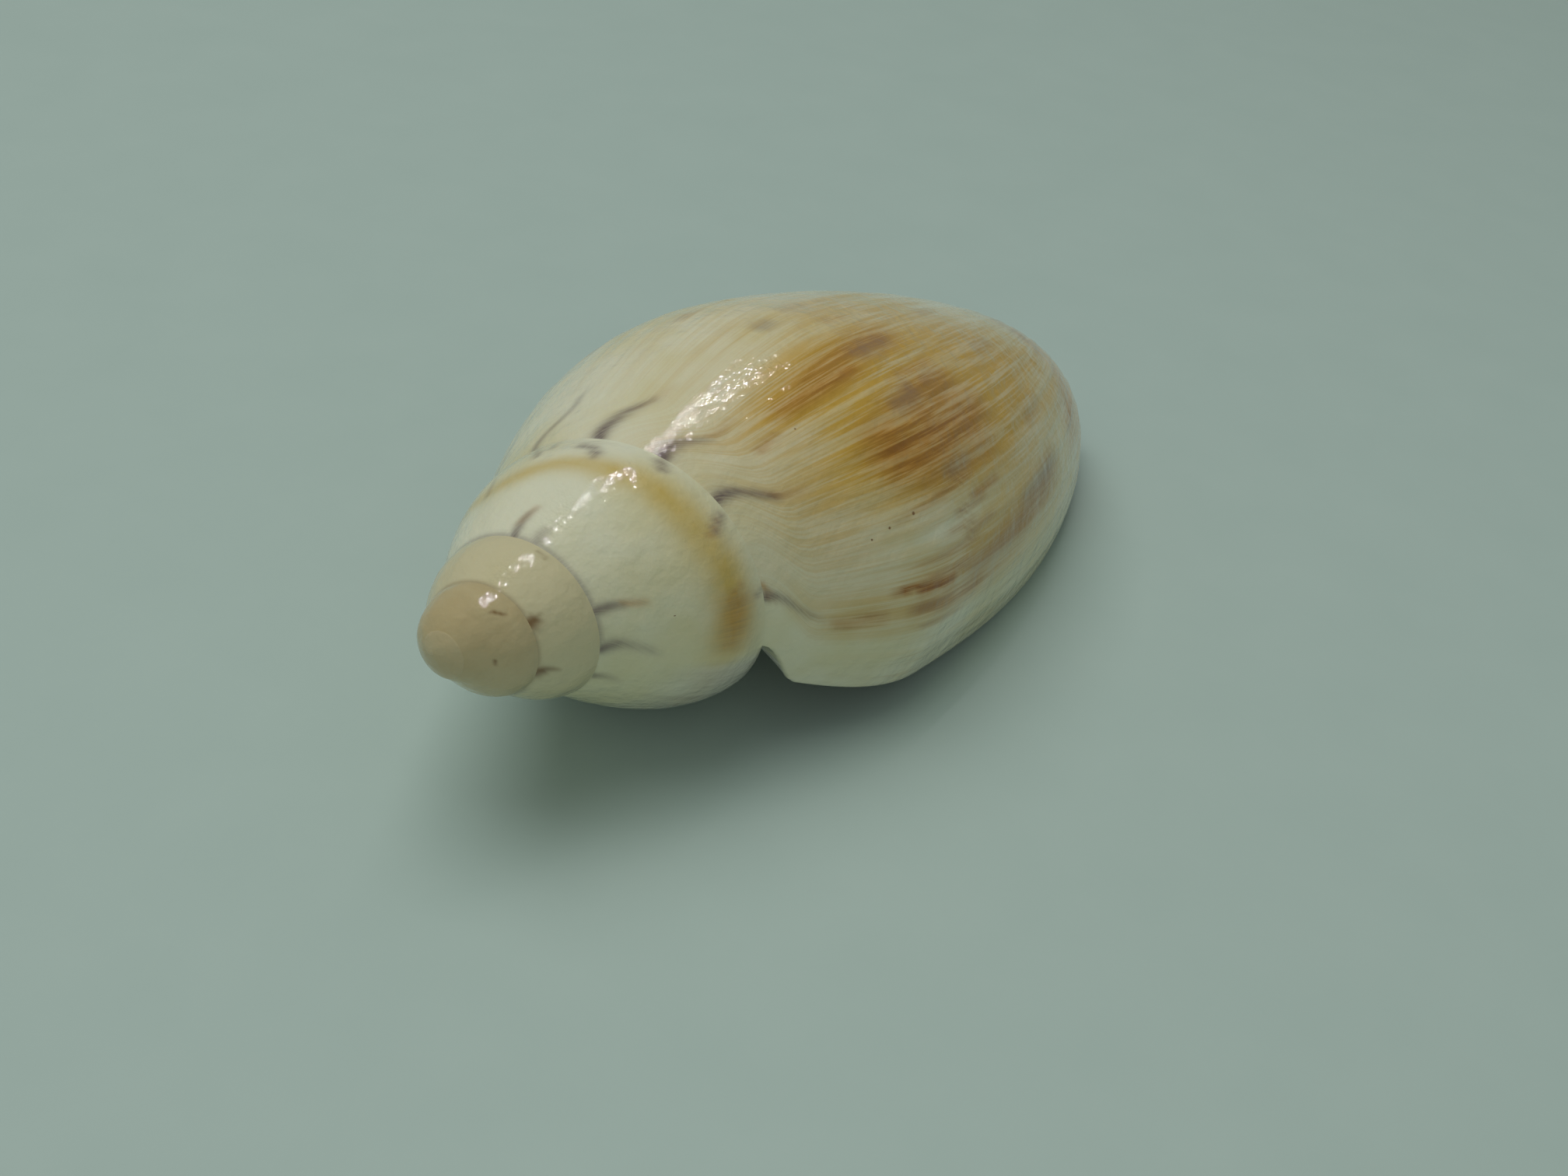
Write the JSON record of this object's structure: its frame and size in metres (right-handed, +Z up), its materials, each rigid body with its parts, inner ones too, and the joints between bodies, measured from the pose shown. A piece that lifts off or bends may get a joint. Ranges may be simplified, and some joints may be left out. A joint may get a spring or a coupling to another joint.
{
  "type": "volute shell",
  "caption": "Cream and tan glazed volute sea shell lying on its mouth, with a domed tip, a smooth swollen last whorl, a long open mouth and folds on the columella",
  "frame": {"origin": "centre of the bounding box in plan, on the surface the shell lies on", "axes": "+X from the apex to the front end, +Y away from the outer lip, +Z up"},
  "size_m": [0.099, 0.04, 0.0332],
  "materials": {
    "shell": "glossy enamel with brown and grey-violet marks"
  },
  "bodies": {
    "root": {"shell": "shell"}
  },
  "joints": []
}
